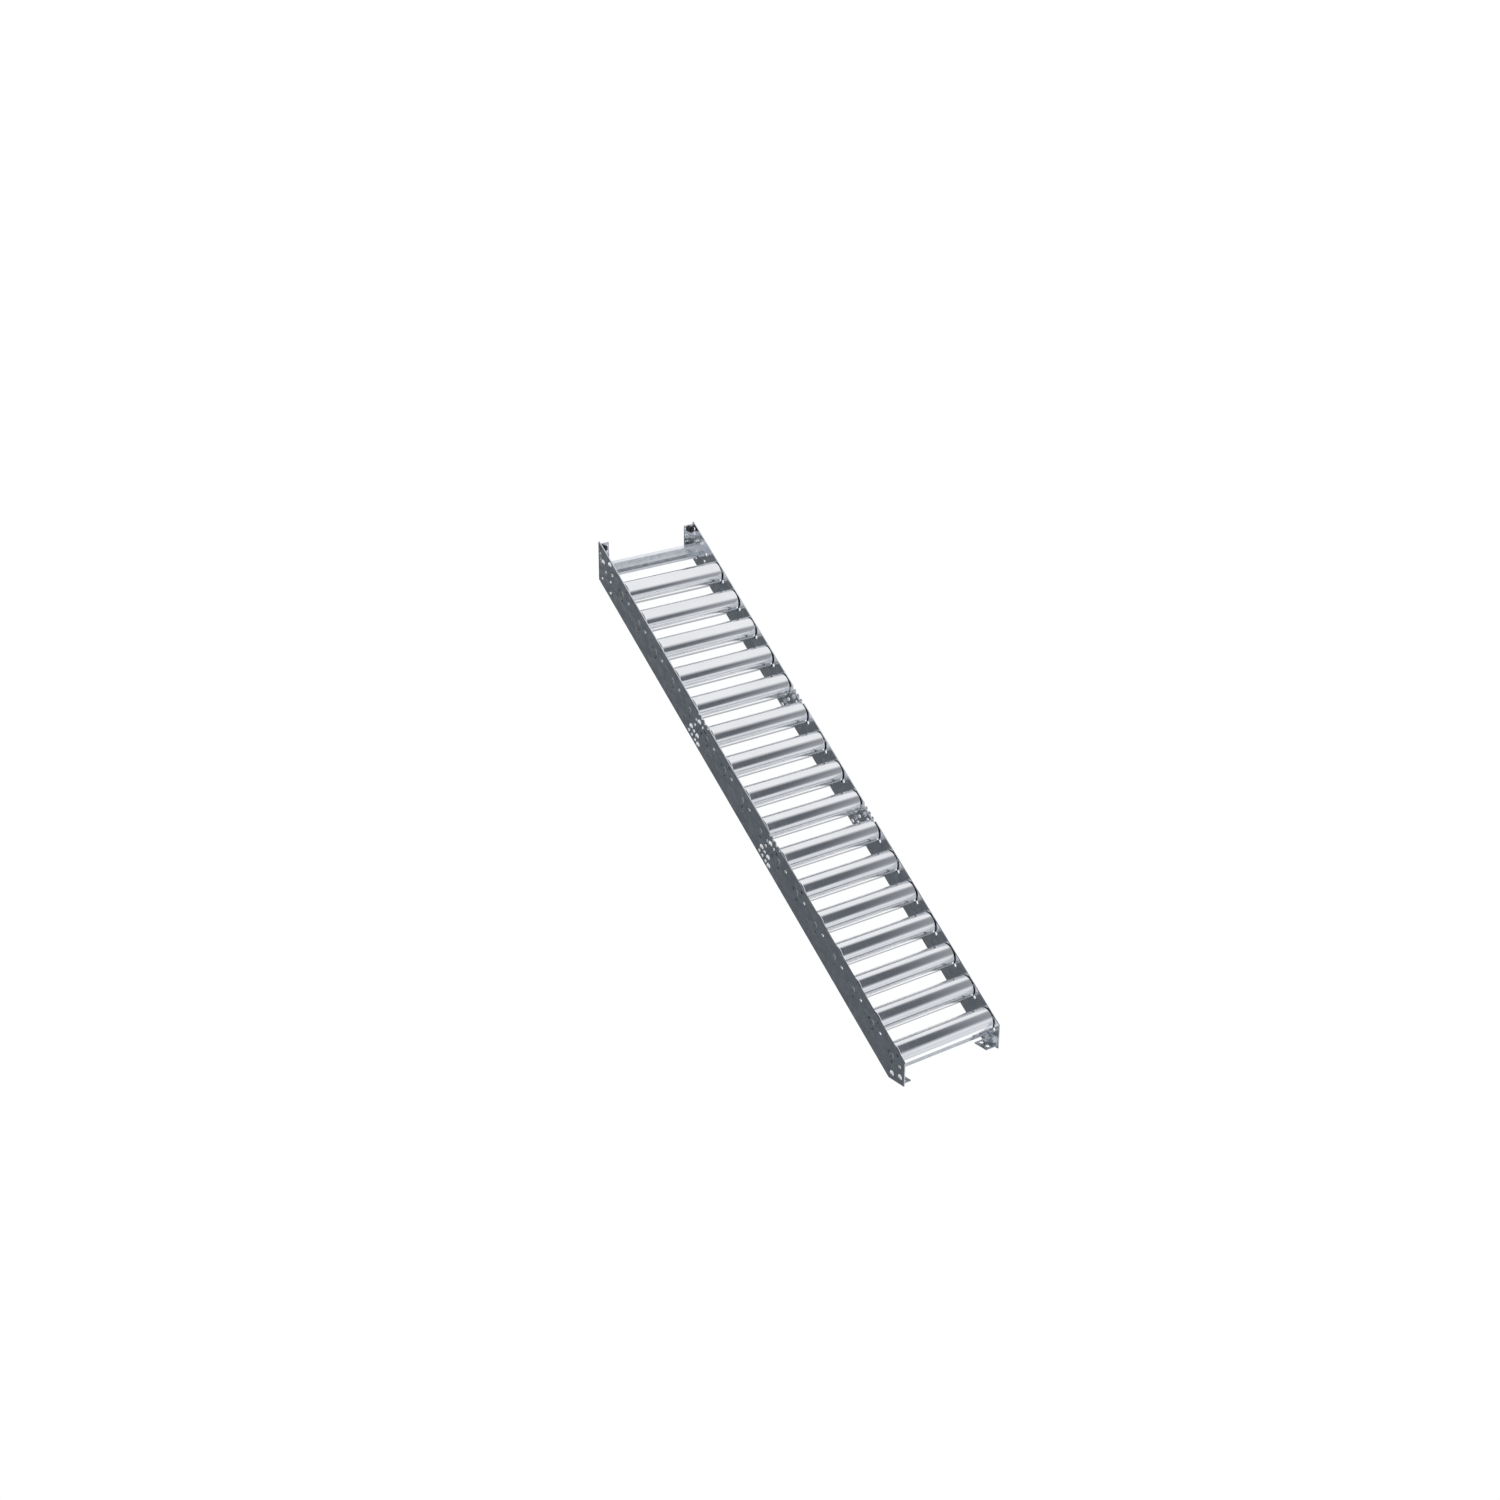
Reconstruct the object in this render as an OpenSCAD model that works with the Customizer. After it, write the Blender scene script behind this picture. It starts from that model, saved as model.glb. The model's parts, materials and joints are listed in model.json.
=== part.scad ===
// Gravity roller conveyor, three spliced side-rail sections, cut for use on a slope.
// The bed lies flat here: X runs down the conveyor, Y across it, Z is normal to the bed.
// The origin is the middle of the footprint, on the plane of the rails' lower edges.

/* [Bed] */
// Distance from one roller to the next, mm
pitch = 75; // [75:1:90]
// Distance over the outer faces of the two side rails, mm
frame_w = 244; // [200:1:500]
// Slope of the bed in use, degrees; the rail ends are cut plumb for it
slope = 37; // [30:1:40]

/* [Rollers] */
// Outer diameter of the roller tube, mm
tube_d = 50; // [44:0.5:52]
// Wall thickness of the roller tube, mm
tube_wall = 1.5; // [1.2:0.1:2]
// Gap between the end of a roller tube and the rail, mm
end_gap = 2.2; // [2:0.1:6]
// Width of the hexagonal axle across its flats, mm
axle_af = 11; // [9:0.5:11.5]

/* [Rails] */
// Height of the side rail, mm
rail_h = 68; // [66:1:76]
// Sheet thickness of the rails and their flanges, mm
sheet = 2.2; // [2:0.1:3]
// Sheet thickness of the splice plates and cross members, mm
plate = 1.5; // [1.2:0.1:1.7]
// Height of the punching line above the lower edge of the rails, mm
punch_z = 50; // [48:1:52]
// Distance of the axles below the punching line, mm
axle_drop = 7; // [4:0.5:8]
// Distance of the axles upstream of their punching stations, mm
axle_back = 3.5; // [2:0.5:4]
// Inward width of the bent end flange and foot flange, mm
flange_w = 25; // [20:1:30]
// Height of the chamfer at the foot of the lower end, mm
foot_rise = 27; // [24:1:30]
// Diameter of the small punched holes, mm
punch_d = 7; // [5:0.5:7.5]
// Diameter of the unbolted adjusting holes in the splice plates, mm
open_d = 9; // [8:0.1:9.5]

/* [Splices] */
// Distance of each rail joint past the axle before it, mm
joint_past = 41; // [38:1:41]
// Clearance left between two rail ends at a joint, mm
joint_gap = 0.6; // [0.4:0.1:1.5]

/* [Hidden] */
$fn = 64;

// Stations count down the bed: station 0 carries the top cross member and
// stations 1 to 16 carry the rollers.
last_station = 16;
joint_stations = [5, 9];
run_top = rail_h * tan(slope);
corner_cut = 2.8;
top_overhang = run_top + 3;
tip_overhang = 57.5;
axle_z = punch_z - axle_drop;
rail_top = rail_h - punch_z;
rail_low = -punch_z;
top_reach = top_overhang - corner_cut;
top_x = top_reach - (top_reach + last_station * pitch + tip_overhang) / 2;
tip_x = station_x(last_station) + tip_overhang;
foot_x = tip_x - foot_rise / tan(slope);
shoulder_x = tip_x - (rail_h - foot_rise) * tan(slope);
inner_w = frame_w - 2 * sheet;
tube_len = inner_w - 2 * end_gap;
fit = 0.2;

// Hole places, each [along the bed, above the punching line] from its station or joint
level_pair = [[5.5, -16.2], [24.5, -2]];
raised_pair = [[-14.4, -6.4], [4.8, 9]];
raised_stations = [0, 1, 3, 7, 11, 15, 16];
foot_pair = [[21, -34.6], [38.6, -18.2]];
top_edge_holes = [[-38.6, 9.2], [-31.8, 0.6], [-25, -7.8]];
top_low_holes = [[4.4, -38], [29, -19.4], [43, -39]];
col_near = 6.7;
col_far = 19;
row_notch = 16.6;
row_a = 1.6;
row_b = -29.7;
row_c = -42.4;
middle_left = -15.8;
middle_right = -11.5;
head_side_holes = [
    [-col_near, row_notch], [-col_far, row_notch], [-(col_near + col_far) / 2, middle_left],
    [-col_near, row_b], [-col_far, row_b], [-col_near, row_c], [-col_far, row_c], [-col_near, row_a]
];
tail_side_holes = [
    [col_near, row_notch], [col_far, row_notch], [(col_near + col_far) / 2, middle_right],
    [col_near, row_a], [col_far, row_a], [col_near, row_c], [col_far, row_c], [col_near, row_b]
];
splice_bolt_places = [[-col_near, row_a], [-col_far, row_b], [col_near, row_b], [col_far, row_c]];
bolt_d = 6;
bolt_head_d = 12;
bolt_head_h = 3;
nut_af = 10;
nut_h = 5;
foot_bolt_d = 9;
foot_hole_places = [10, 28];
foot_hole_in = 13.5;
flange_seat = 0.1;
end_bolt_d = 8;
end_bolt_top = 17;
end_bolt_spacing = 40;
end_bolt_in = 10.5;

// Bearing sizes, from the axle outwards
cone_r = 9.4;
ball_r = 2.4;
ball_pitch_r = 10.6;
ball_count = 8;
race_r = 13.3;
cup_wall = 1.5;
cup_recess = 0.8;
cup_depth = 10;
ball_inset = 6;
spring_wire = 1.6;
spring_pitch = 1.45;
spring_coils = 8;
spring_start = ball_inset + 4.3;
ear_inset = spring_start + spring_pitch * spring_coils + 0.2;
ear_reach = 2;
axle_stub = 1;

function station_x(i) = top_x + i * pitch;
function axle_x(i) = station_x(i) - axle_back;
function is_bolted(h) = len([for (b = splice_bolt_places) if (b == h) b]) > 0;
function joint_x(j) = station_x(joint_stations[j]) + joint_past;
function section_stations(s) =
    s == 0 ? [0 : joint_stations[0]] :
    s == 1 ? [joint_stations[0] + 1 : joint_stations[1]] :
    [joint_stations[1] + 1 : last_station];

// Places children at a point on the outer face of the left rail, Z of the child pointing inwards
module at_left(x, above_line, y = -frame_w / 2) {
    translate([x, y, punch_z + above_line]) rotate([-90, 0, 0]) children();
}

// Draws children on the left and their mirror image on the right
module both_sides() {
    children();
    mirror([0, 1, 0]) children();
}

module punch(x, above_line, d = punch_d) {
    at_left(x, above_line, -frame_w / 2 - 1) cylinder(d = d, h = sheet + plate + 2);
}

// Room round a nut inside the frame, clear of the tab it tightens on
module nut_room(x, above_line) {
    at_left(x, above_line, -frame_w / 2 + sheet + plate) cylinder(d = nut_af + 4, h = nut_h + 2);
}

// Side view of one rail section, X along the bed and Y up from the lower edge
module rail_outline(s) {
    x_start = s == 0 ? top_x - top_overhang : joint_x(s - 1) + joint_gap / 2;
    x_end = s == 2 ? tip_x : joint_x(s) - joint_gap / 2;
    low_start = s == 0 ? x_start + run_top : x_start;
    intersection() {
        polygon([
            [low_start, 0],
            [s == 2 ? foot_x : x_end, 0],
            [x_end, s == 2 ? foot_rise : 0],
            [s == 2 ? shoulder_x : x_end, rail_h],
            [x_start, rail_h]
        ]);
        translate([s == 0 ? x_start + corner_cut : x_start, 0]) square([x_end - x_start, rail_h]);
    }
}

// Plumb flange bent inwards at the top end of the left rail
module end_flange() {
    reach = rail_h / cos(slope);
    clear = 7;
    translate([top_x - top_overhang, -frame_w / 2, rail_h])
        rotate([0, 90 - slope, 0])
            difference() {
                translate([clear, sheet / 2, flange_seat])
                    cube([reach - 2 * clear, flange_w - sheet / 2, sheet]);
                for (u = [0 : 3], v = [0 : 1])
                    translate([clear + 7 + u * 14, flange_w - 3 - v * 5, -1]) cylinder(d = 3, h = sheet + 2);
                for (k = [0, 1])
                    translate([end_bolt_top + k * end_bolt_spacing, end_bolt_in, -1])
                        cylinder(d = end_bolt_d + 2 * fit, h = sheet + 2);
            }
}

// Level foot flange bent inwards along the chamfer of the left rail
module foot_flange() {
    run = foot_rise / sin(slope);
    heel_clear = 2;
    tip_clear = 8;
    translate([foot_x, -frame_w / 2, 0])
        rotate([0, -slope, 0])
            difference() {
                translate([heel_clear, sheet / 2, flange_seat])
                    cube([run - tip_clear - heel_clear, flange_w - sheet / 2, sheet]);
                for (u = foot_hole_places)
                    translate([u, foot_hole_in, -1]) cylinder(d = foot_bolt_d, h = sheet + 2);
            }
}

module left_rail(s) {
    color("slategray") difference() {
        union() {
            translate([0, -frame_w / 2 + sheet, 0])
                rotate([90, 0, 0]) linear_extrude(sheet) rail_outline(s);
            if (s == 0) end_flange();
            if (s == 2) foot_flange();
        }
        for (i = section_stations(s)) {
            for (h = level_pair) punch(station_x(i) + h[0], h[1]);
            if (len(search(i, raised_stations)) > 0)
                for (h = raised_pair) punch(station_x(i) + h[0], h[1]);
            if (i > 0)
                translate([axle_x(i), -frame_w / 2 - 1, axle_z]) rotate([-90, 0, 0])
                    cylinder(d = (axle_af + 2 * fit) / cos(30), h = sheet + 2, $fn = 6);
        }
        if (s < 2) for (h = head_side_holes) punch(joint_x(s) + h[0], h[1]);
        if (s > 0) for (h = tail_side_holes) punch(joint_x(s - 1) + h[0], h[1]);
        if (s == 0) for (h = concat(top_edge_holes, top_low_holes)) punch(top_x + h[0], h[1], punch_d - 1);
        if (s == 2) for (h = foot_pair) punch(station_x(last_station) + h[0], h[1]);
    }
}

// Splice plate inside the left rail at joint j
module left_splice_plate(j) {
    half = 25;
    top = rail_top - 5;
    low = rail_low + 2.5;
    color("lightsteelblue") difference() {
        translate([joint_x(j) - half, -frame_w / 2 + sheet, punch_z + low])
            cube([2 * half, plate, top - low]);
        for (h = concat(head_side_holes, tail_side_holes))
            if (h[1] < top) punch(joint_x(j) + h[0], h[1], is_bolted(h) ? punch_d : open_d);
        translate([axle_x(joint_stations[j] + 1), -frame_w / 2, axle_z]) rotate([-90, 0, 0])
            cylinder(r = cone_r + 8 * fit, h = sheet + plate + 1);
    }
}

// Places children in slope axes: X level down the slope, Z plumb
module plumb_at(x, z) {
    translate([x, 0, z]) rotate([0, -slope, 0]) children();
}

// A folded sheet strip across the frame from its side view in slope axes
module cross_strip(points) {
    rotate([90, 0, 0]) linear_extrude(inner_w, center = true) polygon(points);
}

module top_cross_member() {
    face = 2;
    lip = 9.3;
    face_top = 3;
    shelf = -16.1;
    lip_low = -21.4;
    back = 16;
    color("lightsteelblue") difference() {
        union() {
            plumb_at(top_x, punch_z) {
                cross_strip([
                    [face, face_top], [face, shelf], [face + lip, shelf], [face + lip, lip_low],
                    [face + lip - plate, lip_low], [face + lip - plate, shelf - plate],
                    [face - plate, shelf - plate], [face - plate, face_top - plate],
                    [face - back, face_top - plate], [face - back, face_top]
                ]);
                both_sides()
                    translate([-23, -inner_w / 2, -10]) cube([37, plate, 22]);
            }
        }
        both_sides() for (h = raised_pair) {
            punch(top_x + h[0], h[1]);
            nut_room(top_x + h[0], h[1]);
        }
    }
}

module bottom_cross_member() {
    lip_face = 6.4;
    lip_low = -32.3;
    lip_h = 5.5;
    back = 22;
    color("lightsteelblue") difference() {
        union() {
            plumb_at(axle_x(last_station), axle_z) {
                cross_strip([
                    [lip_face, lip_low], [lip_face, lip_low + lip_h], [lip_face - back, lip_low + lip_h],
                    [lip_face - back, lip_low + lip_h - plate],
                    [lip_face - plate, lip_low + lip_h - plate], [lip_face - plate, lip_low]
                ]);
                both_sides()
                    translate([-13, -inner_w / 2, -42.5]) cube([48, plate, 42.5 + lip_low + lip_h]);
            }
        }
        both_sides() for (h = foot_pair) {
            punch(station_x(last_station) + h[0], h[1]);
            nut_room(station_x(last_station) + h[0], h[1]);
        }
    }
}

module roller_tube(i) {
    color("gainsboro") translate([axle_x(i), 0, axle_z]) rotate([90, 0, 0])
        difference() {
            cylinder(d = tube_d, h = tube_len, center = true);
            cylinder(d = tube_d - 2 * tube_wall, h = tube_len + 2, center = true);
        }
}

// Places children at the left tube end of station i, Z pointing into the roller
module at_tube_end(i) {
    translate([axle_x(i), -tube_len / 2, axle_z]) rotate([-90, 0, 0]) children();
}

// The pressed cup that closes a tube end and carries the outer race
module bearing_cup() {
    seat_r = tube_d / 2 - tube_wall;
    rotate_extrude() polygon([
        [race_r, cup_recess], [seat_r, cup_recess], [seat_r, cup_recess + cup_depth],
        [seat_r - cup_wall, cup_recess + cup_depth], [seat_r - cup_wall, cup_recess + cup_wall],
        [race_r + cup_wall, cup_recess + cup_wall], [race_r + cup_wall, cup_recess + cup_depth],
        [race_r, cup_recess + cup_depth]
    ]);
}

module bearing_cups(i) {
    color("silver") both_sides() at_tube_end(i) bearing_cup();
}

module axles(stations) {
    color("darkgray") for (i = stations) translate([axle_x(i), 0, axle_z]) {
        rotate([90, 0, 0])
            cylinder(d = axle_af / cos(30), h = frame_w + 2 * axle_stub, center = true, $fn = 6);
        translate([-axle_af / 2 - ear_reach, ear_inset - tube_len / 2, -1])
            cube([axle_af + 2 * ear_reach, 2, 2]);
    }
}

// Inner ring with the dust shield; it reaches to the rail and sits on the hexagonal axle
module bearing_cone() {
    shield_r = race_r - 0.8;
    difference() {
        rotate_extrude() difference() {
            polygon([
                [0, -end_gap + fit], [cone_r, -end_gap + fit], [cone_r, 0], [shield_r, 0],
                [shield_r, 1], [cone_r, 1], [cone_r, ball_inset + 4], [0, ball_inset + 4]
            ]);
            translate([ball_pitch_r, ball_inset]) circle(r = ball_r + 0.02);
        }
        translate([0, 0, -end_gap - 1])
            cylinder(d = (axle_af + 0.1) / cos(30), h = ball_inset + end_gap + 8, $fn = 6);
    }
}

module bearing_cones(stations) {
    color("lightgray") for (i = stations) both_sides() at_tube_end(i) bearing_cone();
}

module bearing_balls(stations) {
    color("white") for (i = stations) both_sides() at_tube_end(i)
        for (k = [0 : ball_count - 1])
            rotate([0, 0, k * 360 / ball_count]) translate([ball_pitch_r, 0, ball_inset]) sphere(r = ball_r);
}

// Close-wound spring on each axle, behind the left bearing
module axle_springs() {
    coil_r = 7.6;
    color("dimgray") for (i = [1 : last_station]) at_tube_end(i)
        translate([0, 0, spring_start])
            rotate_extrude() for (k = [0 : spring_coils - 1])
                translate([coil_r, (k + 0.5) * spring_pitch]) circle(d = spring_wire, $fn = 24);
}

// Low round-headed bolt through the left rail, head outside
module round_bolt(grip) {
    translate([0, 0, -bolt_head_h]) rotate_extrude() intersection() {
        translate([0, bolt_head_d * 0.65 + 0.2]) circle(d = bolt_head_d * 1.3);
        square([bolt_head_d / 2, bolt_head_h]);
    }
    cylinder(d = bolt_d - 2 * fit, h = grip + nut_h + 0.8);
}

module hex_nut(af, d, h) {
    difference() {
        cylinder(d = af / cos(30), h = h, $fn = 6);
        translate([0, 0, -1]) cylinder(d = d, h = h + 2);
    }
}

module splice_bolts() {
    color("silver") both_sides() for (j = [0, 1], h = splice_bolt_places)
        at_left(joint_x(j) + h[0], h[1]) round_bolt(sheet + plate - 2);
}

module splice_nuts() {
    color("silver") both_sides() for (j = [0, 1], h = splice_bolt_places)
        at_left(joint_x(j) + h[0], h[1]) translate([0, 0, sheet + plate]) hex_nut(nut_af, bolt_d - fit, 3);
}

module frame_bolts() {
    color("silver") both_sides() {
        for (h = raised_pair) at_left(top_x + h[0], h[1]) round_bolt(sheet + plate);
        for (h = foot_pair) at_left(station_x(last_station) + h[0], h[1]) round_bolt(sheet + plate);
    }
}

module frame_nuts() {
    color("silver") both_sides() {
        for (h = raised_pair)
            at_left(top_x + h[0], h[1]) translate([0, 0, sheet + plate]) hex_nut(nut_af, bolt_d - fit, nut_h);
        for (h = foot_pair)
            at_left(station_x(last_station) + h[0], h[1])
                translate([0, 0, sheet + plate]) hex_nut(nut_af, bolt_d - fit, nut_h);
    }
}

// Places children at each hole of the left end flange, Z pointing down the slope
module at_end_bolts() {
    translate([top_x - top_overhang, -frame_w / 2, rail_h])
        rotate([0, 90 - slope, 0])
            for (k = [0, 1])
                translate([end_bolt_top + k * end_bolt_spacing, end_bolt_in, flange_seat]) children();
}

module end_bolts() {
    head = 3;
    color("dimgray") both_sides() at_end_bolts() {
        translate([0, 0, -head]) cylinder(d = 13 / cos(30), h = head, $fn = 6);
        cylinder(d = end_bolt_d - 2 * fit, h = sheet + 9);
    }
}

module end_nuts() {
    color("dimgray") both_sides() at_end_bolts()
        translate([0, 0, sheet]) hex_nut(13, end_bolt_d - fit, 6.5);
}

upper = [1 : joint_stations[0]];
middle = [joint_stations[0] + 1 : joint_stations[1]];
lower = [joint_stations[1] + 1 : last_station];
function two_digits(i) = i < 10 ? str("0", i) : str(i);

left_rail(0);  // rail_left_upper
left_rail(1);  // rail_left_middle
left_rail(2);  // rail_left_lower
mirror([0, 1, 0]) left_rail(0);  // rail_right_upper
mirror([0, 1, 0]) left_rail(1);  // rail_right_middle
mirror([0, 1, 0]) left_rail(2);  // rail_right_lower
left_splice_plate(0);  // splice_plate_left_upper
left_splice_plate(1);  // splice_plate_left_lower
mirror([0, 1, 0]) left_splice_plate(0);  // splice_plate_right_upper
mirror([0, 1, 0]) left_splice_plate(1);  // splice_plate_right_lower
top_cross_member();
bottom_cross_member();
for (i = [1 : last_station]) {
    roller_tube(i);
    bearing_cups(i);
}
axles(upper);  // axles_upper
axles(middle);  // axles_middle
axles(lower);  // axles_lower
bearing_cones(upper);  // bearing_cones_upper
bearing_cones(middle);  // bearing_cones_middle
bearing_cones(lower);  // bearing_cones_lower
bearing_balls(upper);  // bearing_balls_upper
bearing_balls(middle);  // bearing_balls_middle
bearing_balls(lower);  // bearing_balls_lower
axle_springs();
splice_bolts();
splice_nuts();
frame_bolts();
frame_nuts();
end_bolts();
end_nuts();
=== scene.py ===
import json
import math

import bmesh
import bpy
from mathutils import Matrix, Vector


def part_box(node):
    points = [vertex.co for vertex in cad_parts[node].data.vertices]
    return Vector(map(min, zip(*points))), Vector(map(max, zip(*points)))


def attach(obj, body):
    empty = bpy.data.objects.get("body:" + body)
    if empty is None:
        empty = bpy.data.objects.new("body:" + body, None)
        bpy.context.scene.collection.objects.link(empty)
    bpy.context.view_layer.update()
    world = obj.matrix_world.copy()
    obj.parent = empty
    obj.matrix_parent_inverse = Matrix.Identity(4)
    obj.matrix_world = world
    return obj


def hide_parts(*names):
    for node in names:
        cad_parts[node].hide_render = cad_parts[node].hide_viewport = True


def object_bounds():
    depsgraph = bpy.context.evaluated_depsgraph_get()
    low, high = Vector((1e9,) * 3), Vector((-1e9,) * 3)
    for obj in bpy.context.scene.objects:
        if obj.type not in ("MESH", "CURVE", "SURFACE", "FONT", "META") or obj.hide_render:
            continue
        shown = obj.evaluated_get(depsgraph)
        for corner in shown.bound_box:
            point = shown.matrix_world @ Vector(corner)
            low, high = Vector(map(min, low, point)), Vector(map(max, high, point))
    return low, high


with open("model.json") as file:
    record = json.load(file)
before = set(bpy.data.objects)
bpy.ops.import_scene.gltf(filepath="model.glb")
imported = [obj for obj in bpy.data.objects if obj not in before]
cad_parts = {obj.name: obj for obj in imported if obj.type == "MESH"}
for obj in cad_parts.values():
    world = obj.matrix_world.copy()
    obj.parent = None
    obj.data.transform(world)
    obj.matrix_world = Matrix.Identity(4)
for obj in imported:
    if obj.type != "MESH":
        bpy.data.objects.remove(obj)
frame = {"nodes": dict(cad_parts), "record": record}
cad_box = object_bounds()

# Camera: place in metres, turn in degrees, lens and sensor in millimetres, on a square picture
CAMERA_PLACE = (1.548, -2.632, 3.549)
CAMERA_TURN = (36.10, -21.48, 59.24)
CAMERA_LENS = 55.07
CAMERA_SENSOR = 36.0
CAMERA_REACH = 200.0

# Floor: sizes in metres; here and below all colours are linear light
FLOOR_HALF = 30.0
FLOOR_DROP = 0.0006
FLOOR_COLOUR = (0.98, 0.985, 0.99)
FLOOR_BASE = 0.04

# Sky: each edge is a pair of direction components between which one colour turns into the next
SKY_LIGHT = (0.865, 0.875, 0.90)
SKY_DARK = (0.142, 0.155, 0.168)
SKY_LOW = (1.12, 1.13, 1.15)
SKY_LOW_EDGE = (0.0, -0.25)
SKY_STEEP = (0.46, 0.47, 0.49)
SKY_STEEP_EDGE = (-0.58, -0.76)
SKY_TILT = 1.5
SKY_DARK_EDGE = (-1.60, -1.25)
HORIZON_COLOUR = (0.62, 0.64, 0.68)
HORIZON_EDGE = (0.55, 0.80)
HORIZON_HEIGHT = 0.30

# Cloth above the bed and to its right: pale at both ends and dark between, for the streak on each roller
CLOTH_HEIGHT = 0.83
CLOTH_X = (-0.50, 2.80)
CLOTH_Y = (0.10, 2.40)
CLOTH_DARK = (0.098, 0.107, 0.126)
CLOTH_FAR = (0.78, 0.795, 0.83)
CLOTH_NEAR_EDGE = (-0.36, 0.00)
CLOTH_FAR_EDGE = (0.85, 1.23)
CLOTH_FAR_DIM = (1.60, 2.10)
CLOTH_SIDE_FADE = (0.50, 1.00)
CLOTH_SIDE_STRENGTH = 0.35

MM = 0.001
SHARP_ANGLE = math.radians(50)


# ---------------------------------------------------------------- materials

class Graph:
    """A material's node tree, with short calls to add and join nodes."""

    def __init__(self, name):
        self.material = bpy.data.materials.new(name)
        self.material.use_nodes = True
        self.tree = self.material.node_tree
        self.shader = self.tree.nodes["Principled BSDF"]
        self.place = self.add("ShaderNodeTexCoord").outputs["Object"]

    def add(self, kind, **settings):
        node = self.tree.nodes.new(kind)
        for key, value in settings.items():
            setattr(node, key, value)
        return node

    def put(self, node, socket, value):
        """Joins value to the socket if it is an output, and sets it if it is a number or colour."""
        target = node.inputs[socket]
        if isinstance(value, bpy.types.NodeSocket):
            self.tree.links.new(value, target)
        else:
            target.default_value = value

    def stretch(self, scale):
        """Object coordinates scaled on each axis."""
        node = self.add("ShaderNodeMapping")
        self.put(node, "Vector", self.place)
        node.inputs["Scale"].default_value = scale
        return node.outputs["Vector"]

    def noise(self, scale, detail=3.0, place=None, roughness=0.5):
        node = self.add("ShaderNodeTexNoise")
        self.put(node, "Vector", place or self.place)
        self.put(node, "Scale", scale)
        self.put(node, "Detail", detail)
        self.put(node, "Roughness", roughness)
        return node.outputs["Fac"]

    def cells(self, scale, place=None):
        """A different shade of grey for each cell."""
        node = self.add("ShaderNodeTexVoronoi")
        self.put(node, "Vector", place or self.place)
        self.put(node, "Scale", scale)
        grey = self.add("ShaderNodeSeparateColor")
        self.put(grey, "Color", node.outputs["Color"])
        return grey.outputs["Red"]

    def remap(self, value, low, high, to_low, to_high):
        node = self.add("ShaderNodeMapRange")
        self.put(node, "Value", value)
        self.put(node, "From Min", low)
        self.put(node, "From Max", high)
        self.put(node, "To Min", to_low)
        self.put(node, "To Max", to_high)
        return node.outputs["Result"]

    def math(self, operation, a, b):
        node = self.add("ShaderNodeMath", operation=operation)
        self.put(node, 0, a)
        self.put(node, 1, b)
        return node.outputs["Value"]

    def mix(self, factor, a, b, blend="MIX"):
        node = self.add("ShaderNodeMix", data_type="RGBA", blend_type=blend)
        self.put(node, 0, factor)
        self.put(node, 6, a)
        self.put(node, 7, b)
        return node.outputs[2]

    def edges(self, radius):
        """About 1 along sharp edges and 0 on flat ground."""
        bevel = self.add("ShaderNodeBevel", samples=6)
        self.put(bevel, "Radius", radius)
        geometry = self.add("ShaderNodeNewGeometry")
        dot = self.add("ShaderNodeVectorMath", operation="DOT_PRODUCT")
        self.put(dot, 0, bevel.outputs["Normal"])
        self.put(dot, 1, geometry.outputs["Normal"])
        return self.remap(dot.outputs["Value"], 0.995, 0.80, 0.0, 1.0)

    def bump(self, height, distance, strength=1.0, under=None):
        node = self.add("ShaderNodeBump")
        self.put(node, "Height", height)
        self.put(node, "Distance", distance)
        self.put(node, "Strength", strength)
        if under is not None:
            self.put(node, "Normal", under)
        return node.outputs["Normal"]

    def finish(self, colour, roughness, normal=None, metallic=1.0):
        self.put(self.shader, "Base Color", colour)
        self.put(self.shader, "Roughness", roughness)
        self.put(self.shader, "Metallic", metallic)
        if normal is not None:
            self.put(self.shader, "Normal", normal)
        return self.material


def rgb(value):
    return (*value, 1.0)


def galvanised_sheet():
    """Hot-dip galvanised sheet: faint spangle, clouding, rolled grain and bright worn edges."""
    g = Graph("galvanised_sheet")
    spangle = g.cells(95.0, g.stretch((1.0, 1.0, 1.35)))
    fine_spangle = g.cells(240.0)
    cloud = g.noise(7.0, 4.0)
    grain = g.noise(420.0, 2.0, g.stretch((0.06, 1.0, 1.0)))
    shade = g.mix(spangle, rgb((0.60, 0.625, 0.66)), rgb((0.74, 0.76, 0.79)))
    shade = g.mix(g.remap(cloud, 0.40, 0.68, 0.0, 0.55), shade, rgb((0.56, 0.585, 0.62)))
    shade = g.mix(g.remap(fine_spangle, 0.0, 1.0, 0.0, 0.16), shade, rgb((0.84, 0.85, 0.87)))
    shade = g.mix(g.edges(0.5 * MM), shade, rgb((0.90, 0.905, 0.92)))
    rough = g.math("ADD", g.remap(spangle, 0.0, 1.0, 0.14, 0.22), g.remap(cloud, 0.3, 0.7, 0.0, 0.06))
    rough = g.math("ADD", rough, g.remap(grain, 0.3, 0.7, -0.03, 0.04))
    normal = g.bump(spangle, 0.02 * MM, 0.25)
    normal = g.bump(grain, 0.015 * MM, 0.5, normal)
    return g.finish(shade, rough, normal)


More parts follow.
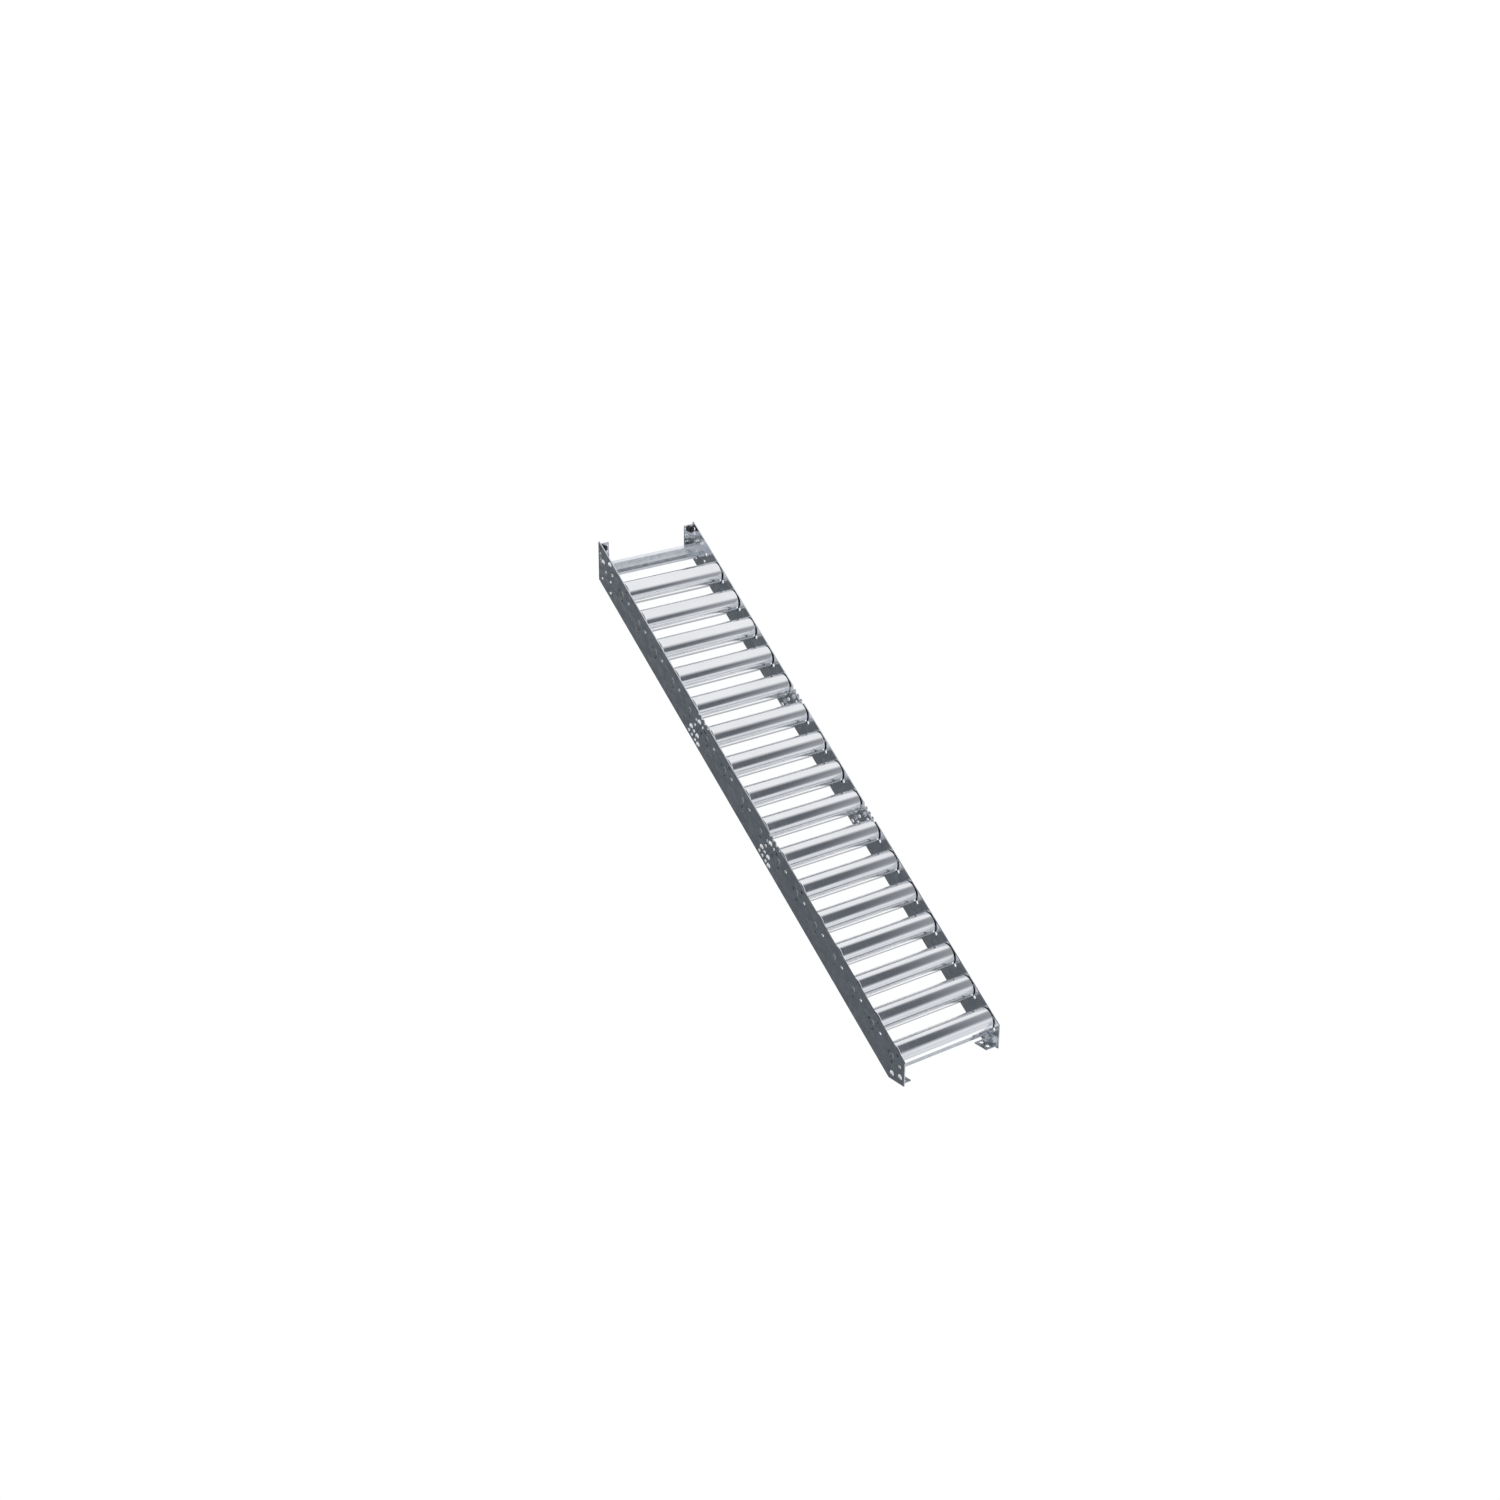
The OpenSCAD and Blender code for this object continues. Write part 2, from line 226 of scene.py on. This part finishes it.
def bright_zinc():
    """Bright zinc plated tube: polishing rings round it, a long draw grain and a light haze of wear."""
    g = Graph("bright_zinc")
    rings = g.noise(900.0, 3.0, g.stretch((0.02, 1.0, 0.02)))
    draw = g.noise(300.0, 2.0, g.stretch((1.0, 0.03, 1.0)))
    haze = g.noise(16.0, 4.0, g.stretch((1.0, 0.45, 1.0)))
    scuff = g.noise(120.0, 5.0, g.stretch((0.25, 1.0, 0.25)), 0.65)
    tint = g.remap(haze, 0.35, 0.7, 0.0, 1.0)
    tint = g.mix(tint, rgb((0.94, 0.945, 0.955)), rgb((0.89, 0.895, 0.905)))
    tint = g.mix(g.remap(scuff, 0.60, 0.78, 0.0, 0.35), tint, rgb((0.78, 0.79, 0.81)))
    rough = g.math("ADD", g.remap(haze, 0.3, 0.7, 0.14, 0.19), g.remap(rings, 0.3, 0.7, -0.015, 0.03))
    rough = g.math("ADD", rough, g.remap(scuff, 0.55, 0.8, 0.0, 0.12))
    normal = g.bump(rings, 0.006 * MM, 0.5)
    normal = g.bump(draw, 0.006 * MM, 0.4, normal)
    return g.finish(tint, rough, normal)


def pressed_steel():
    """Zinc plated pressing: a fine speckled skin, darker clouds and bright worn edges."""
    g = Graph("pressed_steel")
    speck = g.noise(260.0, 3.0)
    cloud = g.noise(60.0, 3.0)
    tint = g.mix(g.remap(cloud, 0.35, 0.7, 0.0, 1.0), rgb((0.66, 0.67, 0.69)), rgb((0.50, 0.51, 0.53)))
    tint = g.mix(g.edges(0.4 * MM), tint, rgb((0.85, 0.85, 0.87)))
    rough = g.remap(speck, 0.3, 0.7, 0.22, 0.36)
    return g.finish(tint, rough, g.bump(speck, 0.02 * MM, 0.4))


def drawn_bar():
    """Cold drawn hexagon bar: grain along the bar, cropped ends and a thin film of oil."""
    g = Graph("drawn_bar")
    grain = g.noise(520.0, 3.0, g.stretch((1.0, 0.02, 1.0)))
    stain = g.noise(45.0, 4.0)
    tint = g.mix(g.remap(stain, 0.4, 0.7, 0.0, 1.0), rgb((0.58, 0.585, 0.60)), rgb((0.42, 0.415, 0.41)))
    tint = g.mix(g.edges(0.4 * MM), tint, rgb((0.80, 0.80, 0.82)))
    rough = g.remap(grain, 0.3, 0.7, 0.24, 0.40)
    return g.finish(tint, rough, g.bump(grain, 0.02 * MM, 0.6))


def ball_chrome():
    g = Graph("ball_chrome")
    marks = g.noise(900.0, 2.0)
    tint = g.mix(g.remap(marks, 0.4, 0.7, 0.0, 1.0), rgb((0.84, 0.84, 0.86)), rgb((0.76, 0.76, 0.78)))
    return g.finish(tint, g.remap(marks, 0.3, 0.7, 0.05, 0.12))


def oiled_spring():
    g = Graph("oiled_spring")
    film = g.noise(200.0, 3.0)
    tint = g.mix(g.remap(film, 0.35, 0.65, 0.0, 1.0), rgb((0.24, 0.24, 0.26)), rgb((0.36, 0.34, 0.31)))
    return g.finish(tint, g.remap(film, 0.3, 0.7, 0.22, 0.42), g.bump(film, 0.01 * MM, 0.5))


def plated_fastener():
    """Zinc plated bolts and nuts: forged skin, bright corners and darker clouds."""
    g = Graph("plated_fastener")
    skin = g.noise(420.0, 3.0)
    cloud = g.noise(90.0, 3.0)
    tint = g.mix(g.remap(cloud, 0.35, 0.65, 0.0, 1.0), rgb((0.80, 0.81, 0.83)), rgb((0.66, 0.67, 0.69)))
    tint = g.mix(g.edges(0.35 * MM), tint, rgb((0.92, 0.92, 0.94)))
    return g.finish(tint, g.remap(skin, 0.3, 0.7, 0.18, 0.32), g.bump(skin, 0.015 * MM, 0.5))


def black_fastener():
    """Black oxide bolts and nuts, rubbed grey along their corners."""
    g = Graph("black_fastener")
    skin = g.noise(380.0, 4.0)
    tint = g.mix(g.remap(skin, 0.35, 0.7, 0.0, 1.0), rgb((0.035, 0.036, 0.040)), rgb((0.075, 0.075, 0.08)))
    tint = g.mix(g.math("MULTIPLY", g.edges(0.35 * MM), 0.6), tint, rgb((0.42, 0.42, 0.44)))
    return g.finish(tint, g.remap(skin, 0.3, 0.7, 0.34, 0.52), g.bump(skin, 0.02 * MM, 0.6), 0.85)


FINISHES = {
    "rail_steel": galvanised_sheet,
    "roller_zinc": bright_zinc,
    "bearing_steel": pressed_steel,
    "axle_steel": drawn_bar,
    "ball_steel": ball_chrome,
    "spring_steel": oiled_spring,
    "fastener_zinc": plated_fastener,
    "fastener_dark": black_fastener,
}

# Rounding of sharp edges on each finish, in millimetres; the others are left as they are
EDGE_ROUNDING = {"rail_steel": 0.25, "axle_steel": 0.3, "fastener_zinc": 0.25, "fastener_dark": 0.3}


def dress_nodes():
    """Gives every CAD node its finish, and those named above slightly rounded edges."""
    made = {slot: make() for slot, make in FINISHES.items()}
    for part in frame["record"]["subparts"]:
        slot = part["material_slot"]
        node = frame["nodes"][part["node"]]
        node.data.materials.clear()
        node.data.materials.append(made[slot])
        if slot in EDGE_ROUNDING:
            rounding = node.modifiers.new("rounding", "BEVEL")
            rounding.width = EDGE_ROUNDING[slot] * MM
            rounding.segments = 2
            rounding.limit_method = "ANGLE"
            rounding.angle_limit = SHARP_ANGLE


# ---------------------------------------------------------------- roller tubes

TUBE_SIDES = 144
TUBE_WALL = 1.5 * MM
TUBE_RIM = 1.1 * MM
RIM_STEPS = 5


def tube_profile(radius, half):
    """Points (radius, along) round the wall of a tube whose outer corners are rolled over."""
    points = []
    for end in (-1, 1):
        rim = []
        for step in range(RIM_STEPS + 1):
            turn = math.radians(90) * step / RIM_STEPS
            inset, back = TUBE_RIM * (1 - math.sin(turn)), TUBE_RIM * (1 - math.cos(turn))
            rim.append((radius - inset, end * (half - back)))
        rim.insert(0, (radius - TUBE_WALL, end * half))
        points += rim if end < 0 else rim[::-1]
    return points


def roller_tube(node, body, material):
    """A finely turned tube in the place of a CAD roller tube."""
    low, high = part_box(node)
    middle = (low + high) / 2
    profile = tube_profile((high.x - low.x) / 2, (high.y - low.y) / 2)
    mesh = bpy.data.meshes.new("turned_" + node)
    form = bmesh.new()
    rings = []
    for side in range(TUBE_SIDES):
        turn = 2 * math.pi * side / TUBE_SIDES
        rings.append([
            form.verts.new(middle + Vector((r * math.cos(turn), along, r * math.sin(turn))))
            for r, along in profile])
    for side, ring in enumerate(rings):
        after = rings[(side + 1) % TUBE_SIDES]
        for k in range(len(profile)):
            n = (k + 1) % len(profile)
            form.faces.new((ring[k], ring[n], after[n], after[k]))
    bmesh.ops.recalc_face_normals(form, faces=form.faces)
    form.to_mesh(mesh)
    form.free()
    mesh.shade_smooth()
    mesh.set_sharp_from_angle(angle=SHARP_ANGLE)
    mesh.materials.append(material)
    tube = bpy.data.objects.new("turned_" + node, mesh)
    bpy.context.scene.collection.objects.link(tube)
    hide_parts(node)
    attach(tube, body)


def turn_roller_tubes():
    for body, nodes in frame["record"]["behaviour"]["bodies"].items():
        for node in nodes:
            if node.startswith("roller_tube"):
                roller_tube(node, body, frame["nodes"][node].data.materials[0])


# ---------------------------------------------------------------- studio

def plane(name, x, y, z):
    mesh = bpy.data.meshes.new(name)
    corners = [(x[0], y[0], z), (x[1], y[0], z), (x[1], y[1], z), (x[0], y[1], z)]
    mesh.from_pydata(corners, [], [(0, 1, 2, 3)])
    made = bpy.data.objects.new(name, mesh)
    bpy.context.scene.collection.objects.link(made)
    return made


def add_floor():
    """A pale floor that glows, so that it shows hardly any shade under the rollers."""
    level = cad_box[0].z - FLOOR_DROP
    floor = plane("floor", (-FLOOR_HALF, FLOOR_HALF), (-FLOOR_HALF, FLOOR_HALF), level)
    g = Graph("pale_floor")
    g.put(g.shader, "Base Color", rgb((FLOOR_BASE,) * 3))
    g.put(g.shader, "Roughness", 1.0)
    g.put(g.shader, "Specular IOR Level", 0.0)
    g.put(g.shader, "Emission Color", rgb(FLOOR_COLOUR))
    g.put(g.shader, "Emission Strength", 1.0)
    floor.data.materials.append(g.material)
    floor.visible_glossy = False


def add_cloth():
    """The cloth, seen only as a reflection in the metal."""
    cloth = plane("cloth", CLOTH_X, CLOTH_Y, CLOTH_HEIGHT)
    g = Graph("studio_cloth")
    split = g.add("ShaderNodeSeparateXYZ")
    g.put(split, 0, g.place)
    along, across = split.outputs["X"], split.outputs["Y"]
    dark = g.remap(along, *CLOTH_NEAR_EDGE, 0.0, 1.0)
    far = g.remap(along, *CLOTH_FAR_EDGE, 0.0, 1.0)
    dim = g.remap(along, *CLOTH_FAR_DIM, 0.0, 1.0)
    fade = g.remap(across, *CLOTH_SIDE_FADE, 0.0, CLOTH_SIDE_STRENGTH)
    shade = g.mix(dark, rgb(SKY_LIGHT), rgb(CLOTH_DARK))
    shade = g.mix(g.math("MULTIPLY", dark, fade), shade, rgb(CLOTH_FAR))
    shade = g.mix(far, shade, rgb(CLOTH_FAR))
    shade = g.mix(dim, shade, rgb(HORIZON_COLOUR))
    g.put(g.shader, "Base Color", rgb((0.0, 0.0, 0.0)))
    g.put(g.shader, "Specular IOR Level", 0.0)
    g.put(g.shader, "Emission Color", shade)
    g.put(g.shader, "Emission Strength", 1.0)
    cloth.data.materials.append(g.material)
    cloth.visible_camera = False
    cloth.visible_diffuse = False
    cloth.visible_shadow = False


def add_sky():
    """Light all round but for a dark near side, a greyer part far below and a grey horizon down the bed."""
    world = bpy.data.worlds.new("studio")
    world.use_nodes = True
    bpy.context.scene.world = world
    tree = world.node_tree
    tree.nodes.clear()

    def add(kind, **settings):
        node = tree.nodes.new("ShaderNode" + kind)
        for key, value in settings.items():
            setattr(node, key, value)
        return node

    def ramp(value, start, end):
        node = add("MapRange", interpolation_type="SMOOTHSTEP")
        tree.links.new(value, node.inputs["Value"])
        node.inputs["From Min"].default_value = start
        node.inputs["From Max"].default_value = end
        return node.outputs["Result"]

    def blend(factor, a, b):
        node = add("Mix", data_type="RGBA")
        for socket, value in ((0, factor), (6, a), (7, b)):
            if isinstance(value, bpy.types.NodeSocket):
                tree.links.new(value, node.inputs[socket])
            else:
                node.inputs[socket].default_value = rgb(value)
        return node.outputs[2]

    split = add("SeparateXYZ")
    tree.links.new(add("TexCoord").outputs["Generated"], split.inputs[0])
    tilt = add("Math", operation="MULTIPLY_ADD")
    tree.links.new(split.outputs["Z"], tilt.inputs[0])
    tilt.inputs[1].default_value = SKY_TILT
    tree.links.new(split.outputs["Y"], tilt.inputs[2])
    height = add("Math", operation="ABSOLUTE")
    tree.links.new(split.outputs["Z"], height.inputs[0])
    horizon = add("Math", operation="MULTIPLY")
    tree.links.new(ramp(split.outputs["X"], *HORIZON_EDGE), horizon.inputs[0])
    tree.links.new(ramp(height.outputs[0], HORIZON_HEIGHT, 0.0), horizon.inputs[1])
    sky = blend(ramp(split.outputs["Z"], *SKY_LOW_EDGE), SKY_LIGHT, SKY_LOW)
    sky = blend(ramp(split.outputs["Z"], *SKY_STEEP_EDGE), sky, SKY_STEEP)
    sky = blend(ramp(tilt.outputs[0], *SKY_DARK_EDGE), SKY_DARK, sky)
    sky = blend(horizon.outputs[0], sky, HORIZON_COLOUR)
    sky = blend(add("LightPath").outputs["Is Camera Ray"], sky, FLOOR_COLOUR)
    background = add("Background")
    tree.links.new(sky, background.inputs["Color"])
    tree.links.new(background.outputs[0], add("OutputWorld").inputs["Surface"])


def add_camera():
    data = bpy.data.cameras.new("camera")
    camera = bpy.data.objects.new("camera", data)
    bpy.context.scene.collection.objects.link(camera)
    camera.location = CAMERA_PLACE
    camera.rotation_euler = [math.radians(turn) for turn in CAMERA_TURN]
    data.sensor_width = CAMERA_SENSOR
    data.lens = CAMERA_LENS
    data.clip_end = CAMERA_REACH
    bpy.context.scene.camera = camera


add_camera()
dress_nodes()
turn_roller_tubes()
add_floor()
add_cloth()
add_sky()
bpy.context.scene.view_settings.view_transform = "Standard"
